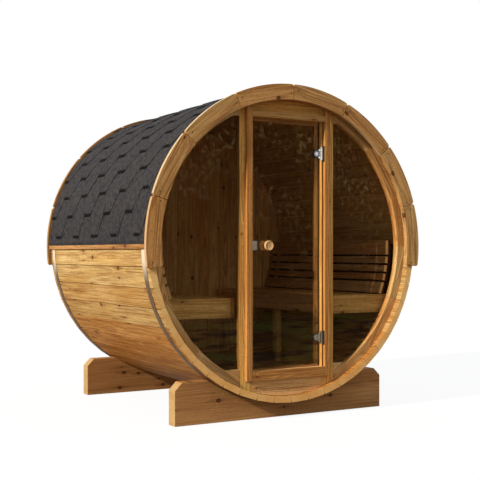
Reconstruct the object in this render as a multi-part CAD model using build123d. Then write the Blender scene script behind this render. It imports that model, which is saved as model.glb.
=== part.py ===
# Barrel sauna: a horizontal wooden barrel on two cradles, with a glazed front wall,
# a glass door hinged on the right, a shingled upper half and benches along both sides.
# Millimetres, +Z up. The door faces -Y, X runs across the front, and the origin is on
# the ground at the centre of the footprint.
import os
from math import asin, cos, degrees, hypot, radians, sin, sqrt

from build123d import *

os.makedirs("parts", exist_ok=True)

# ---- driving dimensions ------------------------------------------------------------

# barrel
barrel_length = 1807.0  # over the outer faces of both rim boards
barrel_radius = 1004.5  # to the outer corners of the staves
stave_thickness = 42.0
stave_count = 48
stave_groups = 8  # nodes that the staves are shared between
stave_gap = 0.4  # open joint between two staves

# rim boards round the upper part of both ends
rim_overhang = 24.2  # beyond the outside of the barrel
rim_lap = 32.2  # inside the inner face of the staves
rim_thickness = 29.0
rim_pieces = 8
rim_piece_angle = 24.46
rim_joint_gap = 0.4
rim_corner_chamfer = 8.0

# tension bands and roofing
band_width = 50.0
band_thickness = 2.0
band_clearance = 0.3
band_cradle_gap = 1.0
roof_thickness = 9.7
roof_clearance = 0.2
roof_edge_height = 6.0
roof_ridge_gap = 0.4
eave_trim_height = 27.0
eave_trim_thickness = 10.5
eave_gap = 0.3

# cradles
cradle_thickness = 87.0
cradle_under = 99.2  # wood left under the lowest stave
cradle_rise = 166.5  # top of the cradle above the bottom of the barrel
cradle_horn = 229.0  # how far the top runs on beyond the barrel on each side
cradle_corner = 49.0
cradle_inset = 122.0  # from the outer face of the rim boards to the cradle
cradle_clearance = 0.3

# end walls
wall_recess = 75.0  # from the outer face of the rim boards to the wall
wall_thickness = 45.0
wall_clearance = 0.3  # between a wall's curved edge and the staves
post_width = 94.0
doorway_half_width = 264.0
header_height = 148.0  # at the middle, from the doorway to the staves
sill_height = 168.0
window_sill_rise = 15.0  # above the foot of the doorway
window_frame_width = 57.0  # the curved frame between the glass and the staves
pane_thickness = 8.0
pane_setback = 25.0  # from the wall's face to the window glass
pane_edge = 8.0  # how far the glass is let into its groove
groove_clearance = 0.3

# boards framing the doorway, on the wall's face
trim_thickness = 24.0
trim_width = 41.0
trim_reveal = 12.6  # face of the post left bare beside the doorway
head_rail_height = 40.0
threshold_height = 61.0
stop_width = 30.0
stop_head_height = 24.0
stop_foot_lap = 2.0  # of the glass over the foot of the stop
stop_thickness = 18.0
stop_pane_gap = 10.0  # distance behind the door glass
stop_end_gap = 0.4

# door
door_side_gap = 10.0
door_top_gap = 20.0
door_bottom_gap = 12.0
door_setback = 21.0  # from the wall's face to the door glass

# door fittings
clamp_radius = 21.0
clamp_thickness = 7.0
clamp_back_thickness = 4.0
clamp_inset = 18.0  # clamp centre from the edge of the glass
clamp_head_distance = 187.0  # upper clamp's centre from the top of the glass
clamp_foot_distance = 178.0  # lower clamp's centre from the foot of the glass
fitting_grip = 0.2  # packing between a fitting and the glass
hinge_axis_front = 11.0  # hinge axis in front of the glass, over its edge
knuckle_radius = 5.5
knuckle_half_height = 18.5
knuckle_gap = 1.5
knuckle_end_length = 10.0  # of the leaf's own knuckles, above and below the clamp's
hinge_arm_thickness = 5.0
leaf_thickness = 3.0
leaf_depth = 18.0
leaf_half_height = 42.0
leaf_front_thickness = 10.0
leaf_front_overhang = 5.0  # front plate beyond the side of the post, over the gap
leaf_front_margin = 0.6  # front plate to the board beside it
knob_radius = 32.0
knob_depth = 44.0
knob_neck_radius = 14.0
knob_neck_length = 16.0
knob_edge_distance = 104.0  # knob centre from the free edge of the glass
knob_foot_distance = 780.0  # knob centre above the foot of the glass
strike_width = 35.0
strike_half_height = 29.0
strike_thickness = 4.0

# floor
floor_rise = 115.0  # at the middle, above the inside of the staves
floor_thickness = 28.0
floor_end_gap = 1.0
bearer_thickness = 45.0
bearer_count = 3
bearer_end_distance = 180.0

# benches
bench_front = 352.0  # front face of a bench from the middle of the room
seat_height = 511.0  # above the floor
bench_board_height = 122.0
bench_board_thickness = 28.0
bench_end_gap = 27.0  # from the front wall to the first end board
bench_wall_gap = 6.0
seat_boards = 4
seat_board_gap = 10.0
seat_thickness = 28.0
joinery_gap = 0.4
leg_width = 45.0
leg_end_distance = 703.0

# backrests
slat_thickness = 23.0
slat_wall_distance = 106.0  # from the staves to the face of the slats
slat_widths = (83.0, 47.0, 47.0, 47.0, 98.0)  # from the seat upwards
slat_gap = 12.5
slat_seat_gap = 1.0
slat_end_gap = 22.5
batten_width = 45.0
batten_thickness = 21.0  # of the battens across the ends of the slats
bracket_end_distance = 350.0  # from the ends of the slats to the deep brackets
batten_clearance = 0.4

# ---- derived places ----------------------------------------------------------------

front = -barrel_length / 2
back = barrel_length / 2
stave_front = front + rim_thickness
stave_back = back - rim_thickness
stave_half_angle = 180.0 / stave_count
stave_inner = barrel_radius * cos(radians(stave_half_angle)) - stave_thickness
rim_outer_radius = barrel_radius + rim_overhang
rim_inner_radius = stave_inner - rim_lap
band_inner = barrel_radius + band_clearance
band_outer = band_inner + band_thickness
roof_inner = band_outer + roof_clearance
roof_outer = roof_inner + roof_thickness
cradle_radius = barrel_radius + cradle_clearance
axis_height = cradle_radius + cradle_under

wall_radius = stave_inner - wall_clearance
wall_front = front + wall_recess
wall_inside = wall_front + wall_thickness
rear_wall_outside = back - wall_recess
rear_wall_inside = rear_wall_outside - wall_thickness
doorway_top = wall_radius - header_height
doorway_bottom = -(wall_radius - sill_height)
window_bottom = doorway_bottom + window_sill_rise
window_radius = wall_radius - window_frame_width
window_pane_front = wall_front + pane_setback
post_outer = doorway_half_width + post_width

trim_front = wall_front - trim_thickness
trim_inner = doorway_half_width + trim_reveal
trim_outer = trim_inner + trim_width
trim_foot = doorway_bottom - threshold_height
door_half_width = doorway_half_width - door_side_gap
door_top = doorway_top - door_top_gap
door_bottom = doorway_bottom + door_bottom_gap
door_front = wall_front + door_setback
door_back = door_front + pane_thickness
stop_front = door_back + stop_pane_gap
hinge_x = door_half_width
hinge_y = door_front - hinge_axis_front
knob_height = door_bottom + knob_foot_distance

floor_top = -(wall_radius - floor_rise)
bench_top = floor_top + seat_height
bench_bottom = bench_top - bench_board_height
bench_near = wall_inside + bench_end_gap
bench_far = rear_wall_inside - bench_end_gap
slat_face_radius = wall_radius - slat_wall_distance

# ---- shapes that repeat ------------------------------------------------------------


def section(face, y_start, y_end):
    """Extrude a face drawn in X and Z from one Y to another."""
    placed = Plane(origin=(0, y_start, axis_height), x_dir=(1, 0, 0), z_dir=(0, -1, 0))
    return extrude(placed * face, -(y_end - y_start))


def outline(points):
    """A face bounded by straight edges through the given X, Z points."""
    return make_face(Polyline(*points, close=True))


def block(x0, x1, y0, y1, z0, z1):
    """A box between two corners, Z measured from the barrel axis."""
    box = Box(x1 - x0, y1 - y0, z1 - z0, align=(Align.MIN, Align.MIN, Align.MIN))
    return Pos(x0, y0, z0 + axis_height) * box


def polar(radius, angle):
    return (radius * cos(radians(angle)), radius * sin(radians(angle)))


def ring_part(r_in, r_out, a0, a1, y0, y1):
    """Part of a ring about the barrel axis, between two angles counted from +X."""
    middle = (a0 + a1) / 2
    outer = ThreePointArc(polar(r_out, a0), polar(r_out, middle), polar(r_out, a1))
    inner = ThreePointArc(polar(r_in, a1), polar(r_in, middle), polar(r_in, a0))
    ends = [Line(outer @ 1, inner @ 0), Line(inner @ 1, outer @ 0)]
    return section(make_face([outer, ends[0], inner, ends[1]]), y0, y1)


def disc(radius, y0, y1):
    return section(Circle(radius), y0, y1)


def upright(x, y, radius, z0, z1):
    """A round bar standing along Z."""
    bar = Cylinder(radius, z1 - z0, align=(Align.CENTER, Align.CENTER, Align.MIN))
    return Pos(x, y, z0 + axis_height) * bar


def mirrored(solids):
    return [mirror(solid, about=Plane.YZ) for solid in solids]


def save(name, solids):
    """Write one node: its solids, which don't touch one another."""
    loose = [piece for solid in solids for piece in solid.solids()]
    export_step(loose[0] if len(loose) == 1 else Compound(children=loose),
                f"parts/{name}.step")


# ---- barrel ------------------------------------------------------------------------


def stave(angle):
    """One straight stave whose middle lies at an angle; its edges point at the axis."""
    half = stave_half_angle
    trim = degrees(stave_gap / 2 / barrel_radius)
    reach = barrel_radius
    depth = stave_inner / cos(radians(half))
    corners = [polar(reach, angle - half + trim), polar(reach, angle + half - trim),
               polar(depth, angle + half - trim), polar(depth, angle - half + trim)]
    return section(outline(corners), stave_front, stave_back)


def barrel_staves():
    """Eight runs of staves, named by where they lie, from the bottom round to the left."""
    places = ["bottom", "lower_right", "right", "upper_right",
              "top", "upper_left", "left", "lower_left"]
    per_group = stave_count // stave_groups
    pitch = 2 * stave_half_angle
    for group, place in enumerate(places):
        first = -90 - pitch * per_group / 2 + group * per_group * pitch
        angles = [first + pitch * (index + 0.5) for index in range(per_group)]
        save(f"staves_{place}", [stave(angle) for angle in angles])


def rim_board(a0, a1, y0):
    """One sawn board of the rim, with its outer corners cut off at the joints."""
    side = rim_corner_chamfer * sqrt(2)
    board = ring_part(rim_inner_radius, rim_outer_radius, a0, a1, y0, y0 + rim_thickness)
    for angle in (a0, a1):
        x, z = polar(rim_outer_radius, angle)
        corner = Box(side, 3 * rim_thickness, side)
        placed = Pos(x, y0, z + axis_height) * Rot(0, 45 - angle, 0) * corner
        board = board - placed
    return board


def rim(y0):
    """The boards of one end, meeting in a row that is centred over the top."""
    gap = degrees(rim_joint_gap / 2 / rim_inner_radius)
    first = 90 - rim_piece_angle * rim_pieces / 2
    starts = [first + rim_piece_angle * index for index in range(rim_pieces)]
    return [rim_board(a + gap, a + rim_piece_angle - gap, y0) for a in starts]


def bands():
    """Flat steel bands drawn tight round the whole barrel, just outside the cradles."""
    near_edge = front + cradle_inset - band_cradle_gap - band_width
    places = {"band_front": near_edge, "band_rear": -near_edge - band_width}
    for name, y0 in places.items():
        ring = disc(band_outer, y0, y0 + band_width) - disc(band_inner, y0, y0 + band_width)
        save(name, [ring])


def roofing():
    """The shingled skin over the upper half, one sheet on each side of the ridge."""
    edge = degrees(asin(roof_edge_height / roof_inner))
    ridge = 90 - degrees(roof_ridge_gap / 2 / roof_inner)
    right = ring_part(roof_inner, roof_outer, edge, ridge, stave_front, stave_back)
    save("roof_shingles_right", [right])
    save("roof_shingles_left", mirrored([right]))


def eave_trims():
    """A batten along each side that closes the lower edge of the roofing."""
    top = roof_edge_height - eave_gap
    bottom = top - eave_trim_height
    outside = roof_inner + eave_trim_thickness
    shell = disc(outside, stave_front, stave_back)
    shell = shell - disc(roof_inner, stave_front, stave_back)
    right = shell & block(0, 2 * outside, stave_front, stave_back, bottom, top)
    save("eave_trim_right", [right])
    save("eave_trim_left", mirrored([right]))


def cradle(y0):
    """A thick plank on edge, hollowed to the barrel, with its upper corners cut off."""
    base = -axis_height
    top = cradle_rise - barrel_radius
    half = sqrt(cradle_radius ** 2 - top ** 2) + cradle_horn
    points = [(-half, base), (half, base), (half, top - cradle_corner),
              (half - cradle_corner, top), (-half + cradle_corner, top),
              (-half, top - cradle_corner)]
    plank = section(outline(points), y0, y0 + cradle_thickness)
    hollow = disc(cradle_radius, y0 - 1, y0 + cradle_thickness + 1)
    return plank - hollow


# ---- front wall --------------------------------------------------------------------


def window_opening(extra, y0, y1):
    """The right window's shape: straight jamb, curved side, short level head and sill."""
    reach = window_radius + extra
    tall = block(post_outer - extra, 2 * reach, y0, y1,
                 window_bottom - extra, doorway_top + extra)
    return disc(reach, y0, y1) & tall


def glazing_groove():
    margin = groove_clearance
    return window_opening(pane_edge + margin, window_pane_front - margin,
                          window_pane_front + pane_thickness + margin)


def front_wall():
    wall = disc(wall_radius, wall_front, wall_inside)
    tall = 2 * wall_radius

    post = wall & block(doorway_half_width, post_outer, wall_front, wall_inside, -tall, tall)
    post = post - glazing_groove()
    save("front_post_right", [post])
    save("front_post_left", mirrored([post]))

    header = wall & block(-doorway_half_width, doorway_half_width,
                          wall_front, wall_inside, doorway_top, tall)
    save("front_header", [header])
    sill = wall & block(-doorway_half_width, doorway_half_width,
                        wall_front, wall_inside, -tall, doorway_bottom)
    save("front_sill", [sill])

    side = wall & block(post_outer, tall, wall_front, wall_inside, -tall, tall)
    frame = side - window_opening(0, wall_front - 1, wall_inside + 1) - glazing_groove()
    save("window_frame_right", [frame])
    save("window_frame_left", mirrored([frame]))

    pane = window_opening(pane_edge, window_pane_front, window_pane_front + pane_thickness)
    save("window_glass_right", [pane])
    save("window_glass_left", mirrored([pane]))


def door_surround():
    """Boards planted on the wall round the doorway, and the stops behind the door."""
    tall = 2 * wall_radius
    room = disc(wall_radius, trim_front, wall_front)
    jamb = room & block(trim_inner, trim_outer, trim_front, wall_front, trim_foot, tall)
    save("door_jamb_right", [jamb])
    save("door_jamb_left", mirrored([jamb]))
    save("door_head_rail", [block(-trim_inner, trim_inner, trim_front, wall_front,
                                  doorway_top, doorway_top + head_rail_height)])
    save("door_threshold", [block(-trim_inner, trim_inner, trim_front, wall_front,
                                  trim_foot, doorway_bottom)])

    stop_back = stop_front + stop_thickness
    inner = doorway_half_width - stop_width
    gap = stop_end_gap
    side = block(inner, doorway_half_width, stop_front, stop_back,
                 doorway_bottom, doorway_top)
    head = block(-inner + gap, inner - gap, stop_front, stop_back,
                 doorway_top - stop_head_height, doorway_top)
    foot = block(-inner + gap, inner - gap, stop_front, stop_back,
                 doorway_bottom, doorway_bottom + door_bottom_gap + stop_foot_lap)
    save("door_stops", [side, *mirrored([side]), head, foot])


# ---- door --------------------------------------------------------------------------


def door():
    save("door_glass", [block(-door_half_width, door_half_width, door_front, door_back,
                              door_bottom, door_top)])


def glass_clamp(z):
    """Round clamp on the glass with an arm to its hinge knuckle, and its back disc."""
    x = door_half_width - clamp_inset
    front_face = door_front - fitting_grip
    face = Plane(origin=(x, front_face, z + axis_height), z_dir=(0, -1, 0))
    round_front = extrude(face * Circle(clamp_radius), clamp_thickness)
    back_face = Plane(origin=(x, door_back + fitting_grip, z + axis_height), z_dir=(0, 1, 0))
    round_back = extrude(back_face * Circle(clamp_radius), clamp_back_thickness)
    arm_back = front_face - clamp_thickness + hinge_arm_thickness
    arm = block(x, hinge_x, front_face - clamp_thickness, arm_back,
                z - knuckle_half_height, z + knuckle_half_height)
    knuckle = upright(hinge_x, hinge_y, knuckle_radius,
                      z - knuckle_half_height, z + knuckle_half_height)
    return [round_front + arm + knuckle, round_back]


def hinge_leaf(z):
    """Angle plate on the corner of the post, with a knuckle above and below the clamp's."""
    post_face = doorway_half_width
    low, high = z - leaf_half_height, z + leaf_half_height
    leaf = block(post_face - leaf_thickness, post_face, wall_front - leaf_thickness,
                 wall_front - leaf_thickness + leaf_depth, low, high)
    leaf = leaf + block(post_face - leaf_front_overhang, trim_inner - leaf_front_margin,
                        wall_front - leaf_front_thickness, wall_front, low, high)
    reach = knuckle_half_height + knuckle_gap
    knuckle_ends = ((z - reach - knuckle_end_length, z - reach),
                    (z + reach, z + reach + knuckle_end_length))
    for start, end in knuckle_ends:
        web = block(hinge_x, post_face - leaf_thickness,
                    hinge_y - leaf_thickness / 2, hinge_y + leaf_thickness / 2, start, end)
        leaf = leaf + upright(hinge_x, hinge_y, knuckle_radius, start, end) + web
    return leaf


def knob_side(direction):
    """A turned knob standing off one face of the glass; direction is -1 outside."""
    face_y = door_front - fitting_grip if direction < 0 else door_back + fitting_grip
    x = -door_half_width + knob_edge_distance
    base = Plane(origin=(x, face_y, knob_height + axis_height), z_dir=(0, direction, 0))
    neck = extrude(base * Circle(knob_neck_radius), knob_neck_length)
    head_start = base.offset(knob_neck_length)
    head = extrude(head_start * Circle(knob_radius), knob_depth - knob_neck_length)
    rim_edges = head.edges().filter_by(GeomType.CIRCLE)
    head = fillet(rim_edges, (knob_depth - knob_neck_length) * 0.3)
    return neck + head


def door_fittings():
    heights = {"upper": door_top - clamp_head_distance, "lower": door_bottom + clamp_foot_distance}
    for place, z in heights.items():
        save(f"door_clamp_{place}", glass_clamp(z))
        save(f"hinge_leaf_{place}", [hinge_leaf(z)])
    save("door_knob", [knob_side(-1), knob_side(1)])

    x0 = -door_half_width + fitting_grip
    plates = [(door_front - fitting_grip - strike_thickness, door_front - fitting_grip),
              (door_back + fitting_grip, door_back + fitting_grip + strike_thickness)]
    save("door_strike", [block(x0, x0 + strike_width, y0, y1,
                               knob_height - strike_half_height,
                               knob_height + strike_half_height) for y0, y1 in plates])


# ---- rear wall and floor -----------------------------------------------------------


def rear_wall():
    save("rear_wall", [disc(wall_radius, rear_wall_inside, rear_wall_outside)])


def floor():
    """Boards between the benches on three bearers that sit in the curve of the barrel."""
    y0 = wall_inside + floor_end_gap
    y1 = rear_wall_inside - floor_end_gap
    under = floor_top - floor_thickness
    half = sqrt(wall_radius ** 2 - floor_top ** 2)
    lower_half = sqrt(wall_radius ** 2 - under ** 2)
    edge = outline([(-half, floor_top), (half, floor_top),
                    (lower_half, under), (-lower_half, under)])
    save("floor", [section(edge, y0, y1)])

    first = y0 + bearer_end_distance
    step = (y1 - y0 - 2 * bearer_end_distance - bearer_thickness) / (bearer_count - 1)
    bearers = []
    for index in range(bearer_count):
        start = first + index * step
        end = start + bearer_thickness
        bearers.append(disc(wall_radius, start, end)
                       & block(-lower_half, lower_half, start, end, -2 * wall_radius, under))
    save("floor_bearers", bearers)


# ---- benches and backrests ---------------------------------------------------------


def bench():
    """The right bench: framing boards and a leg, and the boards of the seat."""
    reach = wall_radius - bench_wall_gap
    outer_top = sqrt(reach ** 2 - bench_top ** 2)
    outer_bottom = sqrt(reach ** 2 - bench_bottom ** 2)
    inner = bench_front + bench_board_thickness
    board_start = inner + joinery_gap

    front_board = block(bench_front, inner, bench_near, bench_far, bench_bottom, bench_top)
    end_shape = outline([(board_start, bench_bottom), (outer_bottom, bench_bottom),
                         (outer_top, bench_top), (board_start, bench_top)])
    near_end = section(end_shape, bench_near, bench_near + bench_board_thickness)
    far_end = section(end_shape, bench_far - bench_board_thickness, bench_far)
    leg_y = wall_inside + leg_end_distance
    leg = block(inner + joinery_gap, inner + joinery_gap + leg_width,
                leg_y, leg_y + leg_width, floor_top, bench_top - seat_thickness)
    framing = [front_board, near_end, far_end, leg]

    seat_edge = sqrt(reach ** 2 - (bench_top - seat_thickness) ** 2)
    pitch = (seat_edge - board_start + seat_board_gap) / seat_boards
    boards = []
    for index in range(seat_boards):
        x0 = board_start + index * pitch
        boards.append(block(x0, x0 + pitch - seat_board_gap,
                            bench_near + bench_board_thickness + joinery_gap,
                            bench_far - bench_board_thickness - joinery_gap,
                            bench_top - seat_thickness, bench_top))
    return framing, boards


def backrest():
    """The right backrest: slats laid round the curve, held together by a batten across
    each end, and held off the staves by two deep brackets."""
    y0 = wall_inside + slat_end_gap
    y1 = rear_wall_inside - slat_end_gap
    lowest = bench_top + slat_seat_gap
    travelled = slat_face_radius * asin(lowest / (slat_face_radius + slat_thickness))
    slats = []
    for width in slat_widths:
        angle = degrees((travelled + width / 2) / slat_face_radius)
        slat = Box(slat_thickness, y1 - y0, width, align=(Align.MIN, Align.MIN, Align.CENTER))
        placed = Pos(0, 0, axis_height) * Rot(0, -angle, 0) * Pos(slat_face_radius, y0, 0)
        slats.append(placed * slat)
        travelled = travelled + width + slat_gap

    r_in = hypot(slat_face_radius + slat_thickness, max(slat_widths) / 2) + batten_clearance
    r_batten = r_in + batten_thickness
    high = degrees((travelled - slat_gap) / slat_face_radius)
    low = degrees(asin(lowest / r_batten))
    supports = [ring_part(r_in, r_batten, low, high, start, start + batten_width)
                for start in (y0, y1 - batten_width)]
    low = degrees(asin(lowest / wall_radius))
    inset = bracket_end_distance
    supports += [ring_part(r_in, wall_radius, low, high, start, start + batten_width)
                 for start in (y0 + inset, y1 - inset - batten_width)]
    return slats, supports


def furniture():
    framing, seat = bench()
    slats, battens = backrest()
    for side, turn in (("right", list), ("left", mirrored)):
        save(f"bench_frame_{side}", turn(framing))
        save(f"bench_seat_{side}", turn(seat))
        save(f"backrest_{side}", turn(slats))
    save("backrest_battens", battens + mirrored(battens))


# ---- the whole sauna ---------------------------------------------------------------

barrel_staves()
save("rim_front", rim(front))
save("rim_rear", rim(back - rim_thickness))
bands()
roofing()
eave_trims()
save("cradle_front", [cradle(front + cradle_inset)])
save("cradle_rear", [cradle(back - cradle_inset - cradle_thickness)])
front_wall()
door_surround()
door()
door_fittings()
rear_wall()
floor()
furniture()
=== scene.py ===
import math
import random

import bmesh
import bpy
from mathutils import Matrix, Vector


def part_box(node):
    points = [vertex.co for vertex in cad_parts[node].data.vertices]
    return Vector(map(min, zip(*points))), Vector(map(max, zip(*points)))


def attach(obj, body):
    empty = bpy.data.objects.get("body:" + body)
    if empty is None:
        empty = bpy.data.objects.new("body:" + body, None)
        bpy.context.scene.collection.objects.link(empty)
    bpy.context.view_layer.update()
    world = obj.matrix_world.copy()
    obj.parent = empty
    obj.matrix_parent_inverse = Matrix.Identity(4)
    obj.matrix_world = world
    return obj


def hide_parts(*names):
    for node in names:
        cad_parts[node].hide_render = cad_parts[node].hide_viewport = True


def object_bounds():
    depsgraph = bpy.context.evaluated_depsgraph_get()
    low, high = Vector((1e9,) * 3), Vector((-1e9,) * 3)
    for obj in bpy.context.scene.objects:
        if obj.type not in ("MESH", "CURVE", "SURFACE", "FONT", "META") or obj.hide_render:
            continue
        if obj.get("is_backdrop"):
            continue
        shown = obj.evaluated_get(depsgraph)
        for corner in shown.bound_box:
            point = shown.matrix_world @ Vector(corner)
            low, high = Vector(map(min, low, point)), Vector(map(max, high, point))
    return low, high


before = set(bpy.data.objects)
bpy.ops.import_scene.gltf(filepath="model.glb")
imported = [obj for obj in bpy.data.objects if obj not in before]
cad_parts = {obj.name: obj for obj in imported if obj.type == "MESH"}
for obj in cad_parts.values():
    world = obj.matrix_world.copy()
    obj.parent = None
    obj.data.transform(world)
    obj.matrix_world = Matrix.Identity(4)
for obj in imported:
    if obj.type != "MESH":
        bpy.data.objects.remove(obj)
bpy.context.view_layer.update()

# ---- cradles -----------------------------------------------------------------------
# Two thick softwood planks on edge that carry the barrel. Each is sawn in one piece,
# hollowed to the barrel's curve, cut off at its upper corners and eased along its edges.

barrel_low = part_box("staves_bottom")[0]
barrel_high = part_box("staves_top")[1]
axis_height = (barrel_low.z + barrel_high.z) / 2
barrel_radius = (barrel_high.z - barrel_low.z) / 2
cradle_seat = barrel_radius + 0.0003  # the hollow, with a little room for the barrel
cradle_corner = 0.049
cradle_ease = 0.004
cradle_end_reach = 0.06  # how far in from the ends the sawn end grain reaches

# A drawing lies across the barrel: x to the right, y up from the axis, z to the back.
across = Matrix(((1, 0, 0, 0), (0, 0, 1, 0), (0, 1, 0, axis_height), (0, 0, 0, 1)))


def paint(red, green, blue):
    """A colour from its 0 to 255 values, as the shaders want it."""
    tones = [value / 255 for value in (red, green, blue)]
    linear = [t / 12.92 if t <= 0.04045 else ((t + 0.055) / 1.055) ** 2.4 for t in tones]
    return (*linear, 1.0)


class Flow:
    """A shader socket. Sums and products written with it add Math nodes."""

    def __init__(self, tree, socket=None):
        self.tree = tree
        self.socket = socket

    def feed(self, node, values):
        """Sets sockets of a node, each to a value or to what another socket gives."""
        for name, value in values.items():
            if isinstance(value, Flow):
                self.tree.links.new(value.socket, node.inputs[name])
            else:
                node.inputs[name].default_value = value

    def node(self, kind, settings, values, output=0):
        """Adds a node with its settings and sockets, and gives one of its outputs."""
        made = self.tree.nodes.new("ShaderNode" + kind)
        for name, value in settings.items():
            setattr(made, name, value)
        self.feed(made, values)
        return Flow(self.tree, made.outputs[output])

    def math(self, operation, first, second=0.0):
        return self.node("Math", {"operation": operation}, {0: first, 1: second})

    def __add__(self, other):
        return self.math("ADD", self, other)

    def __radd__(self, other):
        return self.math("ADD", other, self)

    def __sub__(self, other):
        return self.math("SUBTRACT", self, other)

    def __rsub__(self, other):
        return self.math("SUBTRACT", other, self)

    def __mul__(self, other):
        return self.math("MULTIPLY", self, other)

    def __rmul__(self, other):
        return self.math("MULTIPLY", other, self)

    def __truediv__(self, other):
        return self.math("DIVIDE", self, other)

    def __rtruediv__(self, other):
        return self.math("DIVIDE", other, self)

    def step(self, low, high, start=0.0, end=1.0):
        """Runs smoothly from start to end as the value goes from low to high."""
        values = {0: self, 1: low, 2: high, 3: start, 4: end}
        return self.node("MapRange", {"interpolation_type": "SMOOTHSTEP"}, values)

    def place(self):
        """Where a point of the piece is, in metres."""
        return self.node("TexCoord", {}, {}, "Object")

    def axis(self, letter):
        """One of a vector's X, Y and Z."""
        return self.node("SeparateXYZ", {}, {0: self}, letter)

    def channel(self, order):
        """A colour's red, green or blue, by its order."""
        return self.node("SeparateColor", {}, {0: self}, order)

    def vector(self, operation, other):
        return self.node("VectorMath", {"operation": operation}, {0: self, 1: other})

    def stretch(self, x, y, z):
        return self.vector("MULTIPLY", (x, y, z))

    def length(self):
        return self.node("VectorMath", {"operation": "LENGTH"}, {0: self}, "Value")

    def noise(self, scale, detail=2.0, roughness=0.5):
        values = {"Vector": self, "Scale": scale, "Detail": detail, "Roughness": roughness}
        return self.node("TexNoise", {}, values, "Fac")

    def blend(self, first, second):
        """Mixes two colours, with this value as the share of the second."""
        settings = {"data_type": "RGBA"}
        return self.node("Mix", settings, {0: self, 6: first, 7: second}, 2)

    def bump(self, strength, distance):
        values = {"Strength": strength, "Distance": distance, "Height": self}
        return self.node("Bump", {}, values)


def new_finish(name, settings):
    """A material with its plain settings, and a Flow to start its nodes from."""
    material = bpy.data.materials.new(name)
    material.use_nodes = True
    shader = material.node_tree.nodes["Principled BSDF"]
    start = Flow(material.node_tree)
    start.feed(shader, settings)
    return material, shader, start


def wood(name, pale, warm, dark, knots=0.3, ring=0.0046, figure=0.6, wander=0.05,
         streaks=1.0, weather=1.0, gloss=0.07):
    """Sawn softwood in three colours, given as 0 to 255 values. Each board's mesh says
    where it lay in the log, as x along the trunk and y and z from its heart, so rings,
    fibres and knots run right through it."""
    pale, warm, dark = paint(*pale), paint(*warm), paint(*dark)
    material, shader, start = new_finish(name, {"Specular IOR Level": gloss})
    grain = start.node("Attribute", {"attribute_name": "grain"}, {}, "Vector")
    tone = start.node("Attribute", {"attribute_name": "tone"}, {}, "Fac") * weather

    # knots: a branch crosses the board here and there, and the rings bend round it
    cell = 0.13
    flat = grain.stretch(0.75 / cell, 1 / cell, 0)
    spots = {"voronoi_dimensions": "2D"}
    spot = {"Vector": flat, "Scale": 1.0, "Randomness": 0.9}
    nearest = start.node("TexVoronoi", spots, spot, "Position")
    draws = start.node("TexVoronoi", spots, spot, "Color")
    has_knot = draws.channel(0).step(1 - knots, 1.001 - knots)
    size = draws.channel(1).step(0.0, 1.0, 0.0035, 0.0115)
    offset = flat.vector("SUBTRACT", nearest).stretch(cell, cell, 0)
    distance = offset.length()
    smear = offset.stretch(0.32, 1.5, 0).length()
    ragged = grain.noise(110, 2) * 0.005 - 0.0025
    from_edge = distance + ragged - size
    knot = from_edge.step(0.0012, -0.0012) * has_knot
    knot_bark = from_edge.step(0.0035, 0.0005) * from_edge.step(-0.0035, -0.0005) * has_knot
    pull = distance.step(0.058, 0.004) * has_knot
    halo = (smear + ragged - size).step(0.016, 0.0) * has_knot

    # growth rings about the heart, wandering a little along the trunk
    drift = start.node("TexNoise", {}, {"Vector": grain.stretch(1.3, 6, 6), "Detail": 1.0,
                                        "Scale": 1.0}, "Color")
    drift = start.node("VectorMath", {"operation": "MULTIPLY_ADD"},
                       {0: drift, 1: (0, wander, wander), 2: (0, -wander / 2, -wander / 2)})
    radius = grain.stretch(0, 1, 1).vector("ADD", drift).length() + pull * 0.022
    turn = start.math("FRACT", radius / ring)
    late = turn.step(0.25, 0.86) * turn.step(1.0, 0.93)
    strength = grain.stretch(0.9, 11, 11).noise(1.0, 1).step(0.3, 0.7, 0.25, 1.0)
    late = late * strength * figure

    fibre = grain.stretch(5, 230, 230).noise(1.0, 3, 0.6)
    streak = grain.stretch(1.4, 42, 42).noise(1.0, 4, 0.65)
    vein = grain.stretch(2.4, 105, 105).noise(1.0, 3, 0.6)
    fleck = grain.stretch(45, 150, 150).noise(1.0, 2)
    cloud = grain.stretch(1.6, 11, 11).noise(1.0, 2)

    colour = cloud.step(0.3, 0.72).blend(pale, warm)
    colour = late.blend(colour, dark)
    colour = (streak.step(0.48, 0.66) * (0.45 * streaks)).blend(colour, dark)
    colour = (vein.step(0.48, 0.66) * (0.7 * streaks)).blend(colour, dark)
    colour = (fibre.step(0.45, 0.75) * (0.35 * streaks)).blend(colour, dark)
    colour = (fleck.step(0.5, 0.7) * (0.4 * streaks)).blend(colour, dark)
    colour = (halo * 0.5).blend(colour, dark)
    core = (from_edge * 900 + fibre * 3).step(-9, 2, 0.15, 1.0)
    knot_colour = core.blend(paint(112, 60, 24), paint(58, 28, 10))
    colour = (knot * 0.85).blend(colour, knot_colour)
    colour = (knot_bark * 0.7).blend(colour, paint(52, 26, 10))
    reddish = start.node("Mix", {"data_type": "RGBA", "blend_type": "MULTIPLY"},
                         {0: tone.step(1.0, -1.6), 6: colour, 7: (1.08, 0.76, 0.54, 1.0)}, 2)
    level = tone * 0.08 + 1.0
    colour = start.node("VectorMath", {"operation": "SCALE"}, {0: reddish, "Scale": level})

    height = late * 0.5 + fibre * 0.7 - knot * 0.3
    roughness = 0.5 + fibre * 0.2 + late * 0.1 - knot * 0.12
    start.feed(shader, {"Base Color": colour, "Roughness": roughness,
                        "Normal": height.bump(0.35, 0.0012)})
    return material


def arc(radius, start, end, step=1.5):
    """Points on a circle about the axis, between two angles counted from the right."""
    count = max(1, math.ceil(abs(end - start) / step))
    angles = [math.radians(start + (end - start) * i / count) for i in range(count + 1)]
    return [(radius * math.cos(a), radius * math.sin(a)) for a in angles]


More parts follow.
